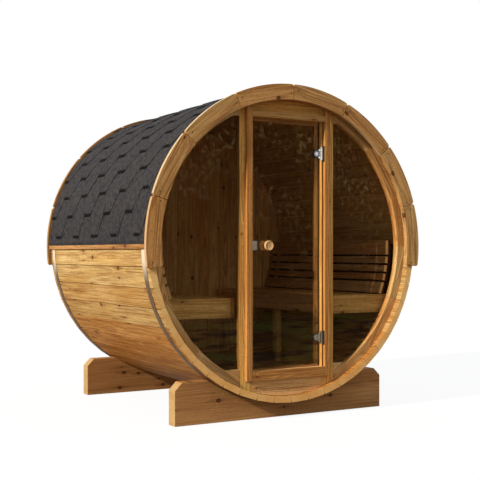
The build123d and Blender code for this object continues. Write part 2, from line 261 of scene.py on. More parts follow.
def new_boards(seed, heart=(0.05, 0.11)):
    """An empty mesh for boards, and what gives each its place in the log: a draw, and the
    range of the distance from the heart. Far out, the figure runs nearly straight."""
    mesh = bmesh.new()
    mesh.verts.layers.float_vector.new("grain")
    mesh.verts.layers.float.new("tone")
    return mesh, random.Random(seed), heart


def add_board(boards, outline, low, high, along, thin, place=across, ease=0.0015, lean=0.0):
    """Saws a board to an outline drawn across the barrel, from low to high, and eases
    its edges. along and thin name the drawing's directions of its length and thickness,
    and lean makes it paler, or redder where it is below nought; a pair changes evenly
    from low to high."""
    mesh, draw, heart_range = boards
    board = bmesh.new()
    grain = board.verts.layers.float_vector.new("grain")
    tone = board.verts.layers.float.new("tone")
    near = [board.verts.new((x, y, low)) for x, y in outline]
    far = [board.verts.new((x, y, high)) for x, y in outline]
    board.faces.new(near)
    board.faces.new(reversed(far))
    for i, j in zip(range(-1, len(outline) - 1), range(len(outline))):
        board.faces.new((near[i], far[i], far[j], near[j]))
    bmesh.ops.recalc_face_normals(board, faces=board.faces)
    edges = [e for e in board.edges if e.calc_face_angle() > math.radians(20)]
    bmesh.ops.bevel(board, geom=edges, offset=ease, segments=2, profile=0.6,
                    affect="EDGES", clamp_overlap=True)

    wide = 3 - along - thin
    middle = sum((v.co for v in board.verts), Vector()) / len(board.verts)
    heart = (draw.uniform(0, 60), draw.uniform(-0.03, 0.03), draw.uniform(*heart_range))
    side = draw.choice((-1, 1))
    board_tone = draw.uniform(-0.6, 0.6)
    lean_low, lean_high = lean if isinstance(lean, tuple) else (lean, lean)
    for v in board.verts:
        offset = v.co - middle
        v[grain] = (offset[along] + heart[0], offset[wide] + heart[1],
                    side * offset[thin] + heart[2])
        share = (v.co.z - low) / (high - low)
        v[tone] = board_tone + lean_low + (lean_high - lean_low) * share
    board.transform(place)
    bmesh.ops.recalc_face_normals(board, faces=board.faces)
    shape = bpy.data.meshes.new("board")
    board.to_mesh(shape)
    board.free()
    mesh.from_mesh(shape)
    bpy.data.meshes.remove(shape)


def make_piece(name, mesh, material, smooth=32, others=()):
    """Turns a finished mesh into an object, smooth except across edges past an angle.
    others are more finishes, each with the test of a face that says where it goes."""
    shape = bpy.data.meshes.new(name)
    mesh.to_mesh(shape)
    mesh.free()
    shape.materials.append(material)
    for order, (finish, wanted) in enumerate(others, 1):
        shape.materials.append(finish)
        for face in shape.polygons:
            if wanted(face):
                face.material_index = order
    shape.shade_smooth()
    shape.set_sharp_from_angle(angle=math.radians(smooth))
    piece = bpy.data.objects.new(name, shape)
    bpy.context.scene.collection.objects.link(piece)
    normals = piece.modifiers.new("normals", "WEIGHTED_NORMAL")
    normals.keep_sharp = True
    return piece


cradle_wood = wood("cradle_wood", (194, 146, 93), (176, 125, 75), (124, 82, 46),
                   knots=0.5, ring=0.006, figure=0.45, streaks=0.6)
cradle_ends = wood("cradle_ends", (186, 158, 114), (178, 146, 98), (140, 102, 60),
                   knots=0.0, figure=0.4, streaks=0.5)

for place_name in ("front", "rear"):
    low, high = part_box("cradle_" + place_name)
    half = high.x
    base = low.z - axis_height
    top = high.z - axis_height
    seat_end = math.degrees(math.asin(top / cradle_seat))
    outline = [(-half, base), (half, base)]
    outline += [(half, top - cradle_corner), (half - cradle_corner, top)]
    outline += arc(cradle_seat, seat_end, -180 - seat_end)
    outline += [(cradle_corner - half, top), (-half, top - cradle_corner)]
    boards = new_boards("cradle " + place_name)
    add_board(boards, outline, low.y, high.y, along=0, thin=2, ease=cradle_ease)
    piece = make_piece("cradle_plank_" + place_name, boards[0], cradle_wood,
                       others=[(cradle_ends, lambda face: abs(face.normal.x) > 0.6
                                and abs(face.center.x) > half - cradle_end_reach)])
    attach(piece, "root")
    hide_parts("cradle_" + place_name)

# ---- staves ------------------------------------------------------------------------
# Forty-eight straight spruce staves, 42 mm thick, planed to a wedge so that they close
# into a round barrel. A small rabbet leaves a narrow groove at each joint outside.

stave_count = 48
stave_pitch = 360 / stave_count
stave_joint = 0.0004
stave_thickness = 0.042
stave_inner = barrel_radius * math.cos(math.radians(stave_pitch / 2)) - stave_thickness
stave_ease = 0.0016
groove_half = 0.0024
groove_depth = 0.009
stave_runs = ("bottom", "lower_right", "right", "upper_right",
              "top", "upper_left", "left", "lower_left")
run_length = stave_count // len(stave_runs)
# The tone of a stave at half height and how it rises: painted light and shade, redder and darker
# underneath and paler above.
middle_tone = 2.1
tone_rise = 5
reddest, palest = -1.6, 0.8

stave_wood = wood("stave_wood", (200, 172, 118), (184, 148, 88), (124, 80, 38),
                  knots=0.2, figure=0.35, wander=0.03, gloss=0.02)
stave_ends = wood("stave_ends", (244, 208, 142), (236, 192, 120), (176, 124, 66),
                  knots=0.0, figure=0.15, streaks=0.3, weather=0.25)


def looks_along(face):
    """Whether a face is an end of a board that lies along the barrel."""
    return abs(face.normal.y) > 0.9


half = stave_pitch / 2 - math.degrees(stave_joint / 2 / barrel_radius)
depth = stave_inner / math.cos(math.radians(half))
inset = half - math.degrees(groove_half / barrel_radius)
groove_foot = barrel_radius - groove_depth
wedge = arc(groove_foot, -half, -inset) + arc(barrel_radius, -inset, inset, 2 * half)
wedge += arc(groove_foot, inset, half) + arc(depth, half, -half, 2 * half)
for run, run_name in enumerate(stave_runs):
    low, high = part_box("staves_" + run_name)
    boards = new_boards("staves " + run_name, heart=(0.12, 0.30))
    for index in range(run_length):
        angle = -90 + stave_pitch * (run_length * run + index - (run_length - 1) / 2)
        turned = across @ Matrix.Rotation(math.radians(angle), 4, "Z")
        # painted light and shade: paler towards the top, redder and darker towards the bottom
        painted_light_tone = middle_tone + tone_rise * math.sin(math.radians(angle))
        add_board(boards, wedge, low.y, high.y, along=2, thin=0, place=turned, ease=stave_ease,
                  lean=min(max(painted_light_tone, reddest), palest))
    piece = make_piece("stave_boards_" + run_name, boards[0], stave_wood,
                       others=[(stave_ends, looks_along)])
    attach(piece, "root")
    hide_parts("staves_" + run_name)

# ---- tension bands -----------------------------------------------------------------
# Two flat steel straps with rolled edges, drawn tight round the staves just outside the cradles.
# The upper half of each lies under the roofing. They have weathered to a dull brown, and are
# painted pale just under the eaves, a painted highlight.

band_thickness = 0.002
band_roll = 0.0006

band_finish, shader, start = new_finish("band_steel", {"Specular IOR Level": 0.03})
place = start.place()
rubbed = place.stretch(3, 60, 3).noise(4.0, 4, 0.7)
blotch = place.noise(9, 3)
colour = rubbed.step(0.3, 0.7).blend(paint(82, 64, 48), paint(116, 94, 72))
colour = (blotch.step(0.5, 0.75) * 0.6).blend(colour, paint(64, 46, 34))
# painted highlight: the strap is painted pale towards its top, just under the eaves
painted_highlight = place.axis("Z").step(0.86, 1.04)
colour = (painted_highlight * 0.8).blend(colour, paint(226, 212, 190))
start.feed(shader, {"Base Color": colour, "Roughness": 0.32 + blotch * 0.25,
                    "Normal": rubbed.bump(0.2, 0.0005)})


def add_ring(mesh, profile, segments=180):
    """Turns a closed profile of radius and depth points about the barrel axis."""
    rings = []
    for index in range(segments):
        angle = 2 * math.pi * index / segments
        spots = [(r * math.cos(angle), y, r * math.sin(angle) + axis_height) for r, y in profile]
        rings.append([mesh.verts.new(spot) for spot in spots])
    for index in range(segments):
        here, there = rings[index - 1], rings[index]
        for i in range(len(profile)):
            mesh.faces.new((here[i - 1], here[i], there[i], there[i - 1]))


for end in ("front", "rear"):
    low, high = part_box("band_" + end)
    outer = high.x
    inner = outer - band_thickness
    mesh = bmesh.new()
    add_ring(mesh, [(inner, low.y), (outer - band_roll, low.y), (outer, low.y + 3 * band_roll),
                    (outer, high.y - 3 * band_roll), (outer - band_roll, high.y),
                    (inner, high.y)])
    bmesh.ops.recalc_face_normals(mesh, faces=mesh.faces)
    piece = make_piece("strap_" + end, mesh, band_finish)
    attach(piece, "root")
    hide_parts("band_" + end)

# ---- rims --------------------------------------------------------------------------
# Eight sawn boards screwed round the upper part of each end, over the ends of the staves.
# Their outer corners are cut off, so every joint shows a small notch.

rim_count = 8
rim_angle = 24.46
rim_notch = 0.010
rim_lap = 0.0322
rim_joint = 0.07  # degrees left open at each end of a board
rim_ease = 0.003
rim_planed = 0.0007  # left for the screw heads, which stand a little proud
rim_inner = stave_inner - rim_lap
rim_wood = wood("rim_wood", (212, 174, 114), (194, 150, 92), (130, 86, 46),
                knots=0.28, ring=0.0062, figure=0.6, weather=0.6)
rim_painted_highlight = wood("rim_painted_highlight", (202, 190, 162), (194, 174, 140), (156, 122, 84),
                knots=0.0, figure=0.3, streaks=0.4)


def faces_out(face):
    """Whether a face looks away from the axis, as the sawn outer edge of a rim does."""
    away = Vector((face.center.x, 0, face.center.z - axis_height)).normalized()
    return face.normal.dot(away) > 0.9


rim_painted_shade = wood("rim_painted_shade", (178, 142, 94), (162, 122, 74), (110, 74, 40),
                     knots=0.22, ring=0.0062, figure=0.6)
# The sawn outer edges of the front boards are painted paler and greyer, a painted highlight, and
# the whole rear rim is painted darker, as painted shade.
rim_finishes = {"front": (rim_wood, [(rim_painted_highlight, faces_out)]), "rear": (rim_painted_shade, [])}
for end in ("front", "rear"):
    low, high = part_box("rim_" + end)
    outer = high.z - axis_height
    half = rim_angle / 2 - rim_joint
    notch = math.degrees(rim_notch / outer)
    outline = arc(outer - rim_notch, -half, -half)[:1]
    outline += arc(outer, notch - half, half - notch)
    outline += arc(outer - rim_notch, half, half)[:1]
    outline += arc(rim_inner, half, -half)
    boards = new_boards("rim " + end)
    for index in range(rim_count):
        angle = 90 + rim_angle * (index - (rim_count - 1) / 2)
        turned = across @ Matrix.Rotation(math.radians(angle), 4, "Z")
        add_board(boards, outline, low.y + rim_planed, high.y - rim_planed, along=1, thin=2,
                  place=turned, ease=rim_ease)
    face_wood, others = rim_finishes[end]
    piece = make_piece("rim_boards_" + end, boards[0], face_wood, others=others)
    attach(piece, "root")
    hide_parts("rim_" + end)

# Countersunk screws hold each board, one near each of its ends.

screw_radius = 0.0046
screw_sides = 16
screw_proud = 0.0002
socket_flat = 0.82  # the socket's flats, as a share of its corners' distance
screw_low, screw_high = 0.970, 0.990  # how far from the axis the two screws are
screw_start, screw_end = 1.1, 1.9  # degrees in from the board's ends
# Each ring of the head: its share of the radius, and its height over the wood.
screw_profile = ((0.0, -0.0010), (0.30, -0.0010), (0.42, 0.0002), (0.92, 0.0004), (1.0, -0.0004))
screw_finish, shader, start = new_finish("screw_steel", {"Metallic": 0.7, "Roughness": 0.5})
place = start.place()
dirt = place.noise(240, 2).step(0.3, 0.7)
start.feed(shader, {"Base Color": dirt.blend(paint(60, 46, 36), paint(38, 26, 18))})


def add_screw(mesh, spot, out):
    """A screw head sunk flush at a spot, facing out, with a socket in its middle."""
    turn = out.to_track_quat("Z", "Y").to_matrix()
    rings = []
    for share, height in screw_profile:
        count = 1 if share == 0 else screw_sides
        ring = []
        for index in range(count):
            angle = 2 * math.pi * index / screw_sides
            reach = screw_radius * share * (socket_flat if share < 0.5 and index % 4 else 1.0)
            offset = Vector((reach * math.cos(angle), reach * math.sin(angle), height))
            ring.append(mesh.verts.new(spot + turn @ offset))
        rings.append(ring)
    for index in range(screw_sides):
        mesh.faces.new((rings[0][0], rings[1][index - 1], rings[1][index]))
    for here, there in zip(rings[1:], rings[2:]):
        for index in range(screw_sides):
            mesh.faces.new((here[index - 1], there[index - 1], there[index], here[index]))


for end, out in (("front", -1), ("rear", 1)):
    low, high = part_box("rim_" + end)
    face_y = low.y + rim_planed if out < 0 else high.y - rim_planed
    mesh = bmesh.new()
    for index in range(rim_count):
        middle = 90 + rim_angle * (index - (rim_count - 1) / 2)
        spots = ((screw_low, middle - rim_angle / 2 + screw_start),
                 (screw_high, middle + rim_angle / 2 - screw_end))
        for radius, angle in spots:
            x, z = arc(radius, angle, angle)[0]
            spot = Vector((x, face_y + out * screw_proud, z + axis_height))
            add_screw(mesh, spot, Vector((0, out, 0)))
    piece = make_piece("rim_screws_" + end, mesh, screw_finish)
    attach(piece, "root")

# ---- roofing -----------------------------------------------------------------------
# Bitumen shingles nailed over the upper half, in courses that lap upwards from a straight
# starter strip. Each tab has a flat foot and slanting sides, and the courses are staggered.

course_rise = 0.1473
course_height = 2.35 * course_rise
first_course = 0.055
starter_height = 0.26
ridge_margin = 0.03
roof_thickness = 0.0097
tab_pitch = 0.350
tab_foot = 0.110
first_tab = 0.145
sheet = 0.0024
# foot_shade, slant_shade and starter_shade set a painted shadow along the tabs' lower edges: its
# height at each foot, and how faint it is on the slanting sides and on the starter.
foot_shade = 0.022
course_rows = 9
bend_spacing = 0.0175
bend_room = 0.006  # the least between a corner of a tab and the next bend
slant_shade = 0.03  # how dark a tab's slanting sides are, beside its foot
starter_shade = 0.2
starter_tone = 0.5
quarter_turn = math.pi / 2 - 0.0002

# Both sides of the barrel, each with its name, its sign and the drawing turned to it.
sides = [(name, side, across @ Matrix.Scale(side, 4, (1, 0, 0)))
         for name, side in (("left", -1), ("right", 1))]

shingle_finish, shader, start = new_finish("shingle", {"Specular IOR Level": 0.08})
place = start.place()
# edge is painted shadow along the lower edges of the tabs, together with their dark cut edges.
edge = start.node("Attribute", {"attribute_name": "edge"}, {}, "Fac")
tone = start.node("Attribute", {"attribute_name": "tone"}, {}, "Fac")
grit = start.node("TexVoronoi", {}, {"Vector": place, "Scale": 620.0}, "Color").channel(0)
wear = place.noise(14, 3, 0.6)
mottle = place.noise(38, 3, 0.7)
colour = grit.blend(paint(36, 35, 38), paint(59, 57, 60))
colour = (mottle.step(0.44, 0.6) * 0.7).blend(colour, paint(69, 65, 62))
colour = (mottle.step(0.5, 0.38) * 0.7).blend(colour, paint(32, 34, 43))
colour = (wear.step(0.45, 0.75) * 0.3).blend(colour, paint(56, 53, 52))
colour = (tone * 0.35).blend(colour, paint(34, 34, 39))
colour = edge.blend(colour, paint(5, 4, 5))
start.feed(shader, {"Base Color": colour, "Roughness": 0.86 + grit * 0.1,
                    "Normal": grit.bump(0.5, 0.0009)})


def close_sheet(mesh, columns):
    """Makes a thin sheet of columns of points, each its top skin and then its underside."""
    rows = len(columns[0]) // 2
    loop = list(range(rows)) + list(range(2 * rows - 1, rows - 1, -1))
    for here, there in zip(columns, columns[1:]):
        for i in range(len(loop)):
            a, b = loop[i - 1], loop[i]
            mesh.faces.new((here[a], here[b], there[b], there[a]))
    for column in (columns[0], columns[-1]):
        for i in range(rows - 1):
            mesh.faces.new((column[i], column[i + 1], column[rows + i + 1], column[rows + i]))


def tab_wave(s, shift):
    """How far above its course's foot line the lower edge is at a place along the roof."""
    slant = tab_pitch / 2 - tab_foot
    away = abs((s - shift + tab_pitch / 2) % tab_pitch - tab_pitch / 2)
    rise = min(max((away - tab_foot / 2) / slant, 0.0), 1.0)
    return rise * course_rise


def add_course(mesh, layers, side, foot, rise, shift, radii, y_low, y_high, draw):
    """Lays one course: a sheet bent to the roof, its lower edge cut to the tabs. shift is
    the place of its first tab, or None for the starter, whose edge is straight."""
    painted_shadow_layer, tone_layer = layers
    bends = [y_low, y_high]
    count = int((y_high - y_low) / bend_spacing)
    bends += [y_low + (y_high - y_low) * i / count for i in range(1, count)]
    if shift is not None:
        start_at = shift + y_low - 2 * tab_pitch
        marks = (-tab_foot / 2, tab_foot / 2,
                 tab_pitch / 2 - tab_foot / 2, tab_pitch / 2 + tab_foot / 2)
        for tab in range(int((y_high - y_low) / tab_pitch) + 4):
            for mark in marks:
                spot = start_at + tab * tab_pitch + mark
                if y_low < spot < y_high:
                    bends = [b for b in bends
                             if abs(b - spot) > bend_room or b in (y_low, y_high)]
                    bends.append(spot)
    bends = sorted(set(bends))
    columns = []
    for y in bends:
        lift = 0.0 if shift is None else tab_wave(y - y_low, shift)
        dark = 1.0 if lift in (0.0, course_rise) else slant_shade
        dark = starter_shade if shift is None else dark
        low = foot + lift
        high = max(min(foot + rise, quarter_turn * radii[0]), low + 0.001)
        steps = [0.0, foot_shade * 0.8, foot_shade]
        steps += [foot_shade + (high - low - foot_shade) * (i / course_rows)
                  for i in range(1, course_rows + 1)]
        column = []
        for skin in (0, 1):
            for order, step in enumerate(steps):
                reach = low + step
                share = min(max((reach - foot) / rise, 0.0), 1.0)
                radius = radii[0] + (radii[1] - radii[0]) * share - skin * sheet
                angle = min(reach / radii[0], quarter_turn)
                v = mesh.verts.new((side * radius * math.cos(angle), y,
                                    radius * math.sin(angle) + axis_height))
                # painted shadow along the foot, and the dark underside and cut edges
                v[painted_shadow_layer] = dark if order < 2 or skin else 0.0
                v[tone_layer] = draw
                column.append(v)
        columns.append(column)
    close_sheet(mesh, columns)


for side_name, side, _ in sides:
    low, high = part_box("roof_shingles_" + side_name)
    outside = high.z - axis_height
    shade = random.Random("roof " + side_name)
    mesh = bmesh.new()
    layers = (mesh.verts.layers.float.new("edge"), mesh.verts.layers.float.new("tone"))
    starter = low.z - axis_height
    roof_under = outside - roof_thickness
    add_course(mesh, layers, side, starter, starter_height, None,
               (outside - sheet, roof_under + sheet), low.y, high.y, starter_tone)
    course = 0
    foot = first_course
    while foot < outside * math.pi / 2 - ridge_margin:
        shift = first_tab if course % 2 == 0 else first_tab + tab_pitch / 2
        add_course(mesh, layers, side, foot, course_height, shift,
                   (outside, roof_under + sheet), low.y, high.y, shade.random())
        course += 1
        foot += course_rise
    bmesh.ops.recalc_face_normals(mesh, faces=mesh.faces)
    piece = make_piece("shingles_" + side_name, mesh, shingle_finish, smooth=40)
    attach(piece, "root")
    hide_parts("roof_shingles_" + side_name)

# Caps cut from the same sheet are bent over the ridge, each lapping the one before it.

cap_reach = 0.125
cap_step = 0.146
cap_length = 1.9 * cap_step
cap_lift = 0.0056
cap_slope = 0.005  # how much nearer the roof a cap's covered end is
cap_bends = 7
# The dark strip at a cap's foot is painted shadow, set in the edge layer.
cap_foot, cap_fade = 0.005, 0.008  # the dark strip at a cap's foot, and where it has gone
mesh = bmesh.new()
edge = mesh.verts.layers.float.new("edge")
tone = mesh.verts.layers.float.new("tone")
shade = random.Random("ridge")
for index in range(math.ceil((high.y - low.y) / cap_step)):
    foot = low.y + cap_step * index
    draw = shade.random()
    far = min(cap_length, high.y - foot)
    columns = []
    for step, dark in ((0.0, 1.0), (cap_foot, 1.0), (cap_fade, 0.0), (far, 0.0)):
        column = []
        for skin in (0, 1):
            radius = outside + cap_lift - cap_slope * step / cap_length - skin * sheet
            for turn in range(-cap_bends, cap_bends + 1):
                angle = turn / cap_bends * cap_reach / outside
                v = mesh.verts.new((radius * math.sin(angle), foot + step,
                                    radius * math.cos(angle) + axis_height))
                v[edge] = max(dark, skin)
                v[tone] = draw
                column.append(v)
        columns.append(column)
    close_sheet(mesh, columns)
bmesh.ops.recalc_face_normals(mesh, faces=mesh.faces)
piece = make_piece("ridge_caps", mesh, shingle_finish, smooth=40)
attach(piece, "root")

# ---- eave battens ------------------------------------------------------------------
# A thin planed batten is nailed to the staves along each side of the barrel, just under the
# lowest shingles. It is darker than the other trim.

eave_thickness = 0.0105
eave_slant = 0.0002  # how much further in its lower edge lies, towards the staves
eave_wood = wood("eave_wood", (186, 144, 92), (168, 122, 70), (114, 76, 40),
                 knots=0.2, ring=0.005)
for side_name, _, mirror in sides:
    low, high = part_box("eave_trim_" + side_name)
    bottom = low.z - axis_height
    top = high.z - axis_height
    outer = max(abs(low.x), abs(high.x))
    inner = outer - eave_thickness
    outline = [(inner - eave_slant, bottom), (outer, bottom), (outer, top), (inner, top)]
    boards = new_boards("eave " + side_name)
    add_board(boards, outline, low.y, high.y, along=2, thin=0, place=mirror, ease=0.0012)
    piece = make_piece("eave_batten_" + side_name, boards[0], eave_wood)
    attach(piece, "root")
    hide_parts("eave_trim_" + side_name)

# ---- front wall --------------------------------------------------------------------
# The frame of the glazed front: two posts that run down to the staves, a header and a
# sill between them, and curved pieces that follow the barrel round each side window.

wall_low, wall_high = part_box("front_post_right")
wall_room = 0.0003  # between the wall and the staves
wall_radius = stave_inner - wall_room
wall_joint = 0.0002  # room at each joint of the frame
post_ease = 0.003
surround_depth = 0.057
surround_sill = 0.015
post_inner = wall_low.x
post_outer = wall_high.x
doorway_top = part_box("front_header")[0].z - axis_height
doorway_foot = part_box("front_sill")[1].z - axis_height
window_foot = doorway_foot + surround_sill
window_radius = wall_radius - surround_depth
surround_count = 6  # curved pieces round each side window
surround_room = 0.02  # degrees left free beside the post
end_step = 0.8  # degrees between the points where a board's end meets the staves

wall_wood = wood("wall_wood", (238, 196, 112), (224, 170, 90), (154, 100, 44),
                 knots=0.3, ring=0.0052, figure=0.7)
sill_wood = wood("sill_wood", (250, 222, 164), (240, 202, 136), (172, 120, 68),
                 knots=0.4, ring=0.0085, figure=0.8)
surround_wood = wood("surround_wood", (226, 194, 134), (208, 167, 106), (142, 100, 56),
                     knots=0.3, ring=0.0052, figure=0.7)
# packing_painted_shade is a dark finish: painted shade on the window-side edges of the posts and
# on the laths beside the jambs.
packing_painted_shade = wood("packing_painted_shade", (150, 112, 60), (136, 98, 48), (92, 62, 28),
                    knots=0.0, ring=0.004)


def bearing(x, radius):
    """The angle at which a circle about the axis passes a distance to the right."""
    return math.degrees(math.acos(x / radius))


for side_name, side, mirror in sides:
    steep, shallow = bearing(post_inner, wall_radius), bearing(post_outer, wall_radius)
    outline = arc(wall_radius, steep, shallow, end_step)
    outline += arc(wall_radius, -shallow, -steep, end_step)
    boards = new_boards("post " + side_name)
    # painted light: the left post is painted paler than the right one
    add_board(boards, outline, wall_low.y, wall_high.y, along=1, thin=2, place=mirror,
              ease=post_ease, lean=0.5 - 0.5 * side)
    # The window-side edge of each post takes the dark packing finish, painted shade.
    piece = make_piece("wall_post_" + side_name, boards[0], wall_wood,
                       others=[(packing_painted_shade, lambda face: abs(face.normal.x) > 0.9
                                and abs(face.center.x) > post_outer - 0.001)])
    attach(piece, "root")
    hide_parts("front_post_" + side_name)

    boards = new_boards("window frame " + side_name)
    reach = (shallow - surround_room) * 2 / surround_count
    level_head = math.degrees(math.asin(doorway_top / window_radius))
    level_sill = math.degrees(math.asin(window_foot / window_radius))
    for index in range(surround_count):
        start_at = -shallow + surround_room + reach * index
        end_at = start_at + reach
        outline = arc(wall_radius, start_at, end_at)
        if index == surround_count - 1:
            outline += [(post_outer + wall_joint, doorway_top)]
            outline += arc(window_radius, level_head, start_at)
        elif index == 0:
            outline += arc(window_radius, end_at, level_sill)
            outline += [(post_outer + wall_joint, window_foot)]
        else:
            outline += arc(window_radius, end_at, start_at)
        middle = math.radians((start_at + end_at) / 2)
        turned = mirror @ Matrix.Rotation(middle, 4, "Z")
        back_turn = Matrix.Rotation(-middle, 4, "Z")
        outline = [tuple((back_turn @ Vector((x, y, 0)))[:2]) for x, y in outline]
        add_board(boards, outline, wall_low.y, wall_high.y, along=1, thin=2, place=turned,
                  ease=0.0012)
    piece = make_piece("window_surround_" + side_name, boards[0], surround_wood)
    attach(piece, "root")
    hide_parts("window_frame_" + side_name)

inner_reach = post_inner - wall_joint
crown = bearing(inner_reach, wall_radius)
boards = new_boards("header")
outline = [(-inner_reach, doorway_top), (inner_reach, doorway_top)]
outline += arc(wall_radius, crown, 180 - crown)
add_board(boards, outline, wall_low.y, wall_high.y, along=0, thin=2)
piece = make_piece("wall_header", boards[0], wall_wood)
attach(piece, "root")
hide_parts("front_header")

boards = new_boards("sill", heart=(0.03, 0.05))
outline = [(inner_reach, doorway_foot), (-inner_reach, doorway_foot)]
outline += arc(wall_radius, crown - 180, -crown)
add_board(boards, outline, wall_low.y, wall_high.y, along=0, thin=2)
piece = make_piece("wall_sill", boards[0], sill_wood)
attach(piece, "root")
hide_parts("front_sill")

# ---- window glass ------------------------------------------------------------------
# Bronze tinted safety glass, 8 mm thick, let into a groove of the frame on both sides of the
# doorway. It looks nearly black from outside, with a brown cast, faint painted reflections in
# blotches that grow stronger upwards, a painted green reflection and painted dark streaks low
# down, and its cut edges are dark.

glass_finish, shader, start = new_finish("tinted_glass", {"Specular IOR Level": 0.06})
place = start.place()
painted_reflection_blotches = place.stretch(1, 1, 0.8).noise(30, 7, 0.76).step(0.45, 0.66)
height = place.axis("Z")
level = height.step(1.1, 1.6, 0.35, 1.0)
painted_reflection_streaks = place.stretch(1, 1, 10).noise(2.6, 4, 0.62)
# green is a painted green reflection low down, and shade painted dark reflected streaks beside
# it.
green = height.step(0.72, 0.62) * painted_reflection_streaks.step(0.44, 0.62)
shade = height.step(0.69, 0.60) * painted_reflection_streaks.step(0.54, 0.40)
painted_reflection_blotches = painted_reflection_blotches * place.noise(3.4, 3).step(0.40, 0.58, 0.3, 1.0) * level
smear = place.stretch(14, 14, 5).noise(1.0, 4, 0.65)
facing = start.node("TexCoord", {}, {}, "Normal").axis("Y")
edge = start.math("ABSOLUTE", facing).step(0.9, 0.5)
painted_reflection_colour = place.noise(8, 3).step(0.42, 0.58).blend(paint(176, 146, 92), paint(166, 118, 80))
colour = painted_reflection_blotches.blend(paint(90, 58, 26), painted_reflection_colour)
colour = shade.blend(green.blend(colour, paint(80, 92, 42)), paint(16, 14, 9))
colour = edge.blend(colour, paint(16, 10, 5))
start.feed(shader, {"Base Color": colour, "Roughness": 0.04 + smear * 0.06})
passing = start.node("LightPath", {}, {}, "Is Camera Ray")
tint = passing.blend((1.0, 0.98, 0.95, 1.0), (0.95, 0.90, 0.82, 1.0))
clear = start.node("BsdfTransparent", {}, {"Color": tint})
gloss = Flow(start.tree, shader.outputs[0])
cover = painted_reflection_blotches * 0.4 + level * 0.054 + green * 0.14 + shade * 0.36 + edge
pane = start.node("MixShader", {}, {0: cover, 1: clear, 2: gloss})
start.feed(start.tree.nodes["Material Output"], {"Surface": pane})


def dress(name, finish):
    """Gives a solid of the plain model its finish, where it stays in sight as it is."""
    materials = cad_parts[name].data.materials
    materials.clear()
    materials.append(finish)


for side_name, _, _ in sides:
    dress("window_glass_" + side_name, glass_finish)

# ---- door surround -----------------------------------------------------------------
# Planed boards screwed to the wall round the doorway: a jamb on each side that runs up to
# the staves, a head rail and a threshold between them, and the stops behind the door.

trim_wood = wood("trim_wood", (210, 167, 104), (196, 147, 85), (132, 86, 42),
                 knots=0.25, ring=0.005)
trim_ease = 0.003
jamb_low, jamb_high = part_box("door_jamb_right")
for side_name, side, mirror in sides:
    steep, shallow = bearing(jamb_low.x, wall_radius), bearing(jamb_high.x, wall_radius)
    foot = jamb_low.z - axis_height
    outline = [(jamb_low.x, foot), (jamb_high.x, foot)]
    outline += arc(wall_radius, shallow, steep, end_step)
    boards = new_boards("jamb " + side_name)
    # painted light: the left jamb is painted paler than the right one
    add_board(boards, outline, jamb_low.y, jamb_high.y, along=1, thin=2, place=mirror,
              ease=trim_ease, lean=-0.5 - 0.2 * side)
    piece = make_piece("jamb_board_" + side_name, boards[0], trim_wood)
    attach(piece, "root")
    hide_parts("door_jamb_" + side_name)


def oblong(left, bottom, right, top):
    """The outline of a straight piece with square corners."""
    return [(left, bottom), (right, bottom), (right, top), (left, top)]


for name in ("door_head_rail", "door_threshold"):
    low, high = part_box(name)
    outline = oblong(low.x, low.z - axis_height, high.x, high.z - axis_height)
    boards = new_boards(name)
    add_board(boards, outline, low.y, high.y, along=0, thin=2, ease=trim_ease)
    piece = make_piece(name + "_board", boards[0], trim_wood)
    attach(piece, "root")
    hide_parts(name)

# A dark lath packs the corner between each jamb and its post, painted shade in that corner, and a
# dark sealing strip lies on the post behind the edge of the glass, the painted shadow of the
# glass.

fit_room = 0.0003  # left where a lath, a strip or a pad meets its neighbour
lath_inset = 0.002  # how far the lath stays back from the post's edge
lath_thickness = 0.002
strip_thickness = 0.0014
strip_depth = 0.014
painted_shade_seal, shader, start = new_finish("door_seal", {"Specular IOR Level": 0.3})
place = start.place()
dust = place.noise(160, 3).step(0.4, 0.7)
start.feed(shader, {"Base Color": dust.blend(paint(92, 62, 32), paint(118, 84, 48)),
                    "Roughness": 0.6 + dust * 0.2})
low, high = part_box("door_stops")
bottom, top = low.z - axis_height, high.z - axis_height
laths = new_boards("laths")
strips = new_boards("strips")
for _, _, mirror in sides:
    outline = oblong(post_inner + lath_inset, bottom, jamb_low.x - fit_room, top)
    add_board(laths, outline, wall_low.y - lath_thickness, wall_low.y - wall_joint,
              along=1, thin=2, place=mirror, ease=0.0004)
    outline = oblong(post_inner - strip_thickness, bottom, post_inner - wall_joint, top)
    add_board(strips, outline, low.y - strip_depth, low.y - fit_room,
              along=1, thin=0, place=mirror, ease=0.0003)
piece = make_piece("door_painted_shade_laths", laths[0], packing_painted_shade)
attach(piece, "root")
piece = make_piece("door_painted_shadow_strips", strips[0], painted_shade_seal)
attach(piece, "root")

# The stops are a strip down each side of the doorway, with a short one between them at the top
# and at the foot. The sides' inner edges take the dark seal finish, which is partly a seal and
# partly painted shade.

stop_width = 0.030
stop_head = 0.024
stop_foot = 0.014
stop_joint = 0.0004
boards = new_boards("stops")
for _, _, mirror in sides:
    outline = oblong(high.x - stop_width, bottom, high.x, top)
    add_board(boards, outline, low.y, high.y, along=1, thin=2, place=mirror, lean=2.0)
inner = high.x - stop_width - stop_joint
for foot, head in ((bottom, bottom + stop_foot), (top - stop_head, top)):
    outline = oblong(-inner, foot, inner, head)
    add_board(boards, outline, low.y, high.y, along=0, thin=2)
piece = make_piece("door_stop_strips", boards[0], trim_wood,
                   others=[(painted_shade_seal, lambda face: abs(face.normal.x) > 0.9
                            and abs(face.center.x) < inner + 0.001)])
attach(piece, "root")
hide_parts("door_stops")

# ---- door --------------------------------------------------------------------------
# A frameless pane of the same tinted glass, 8 mm thick, with polished edges. It hangs on
# two steel glass clamps at its right edge and carries a knob and a small catch plate.

dress("door_glass", glass_finish)

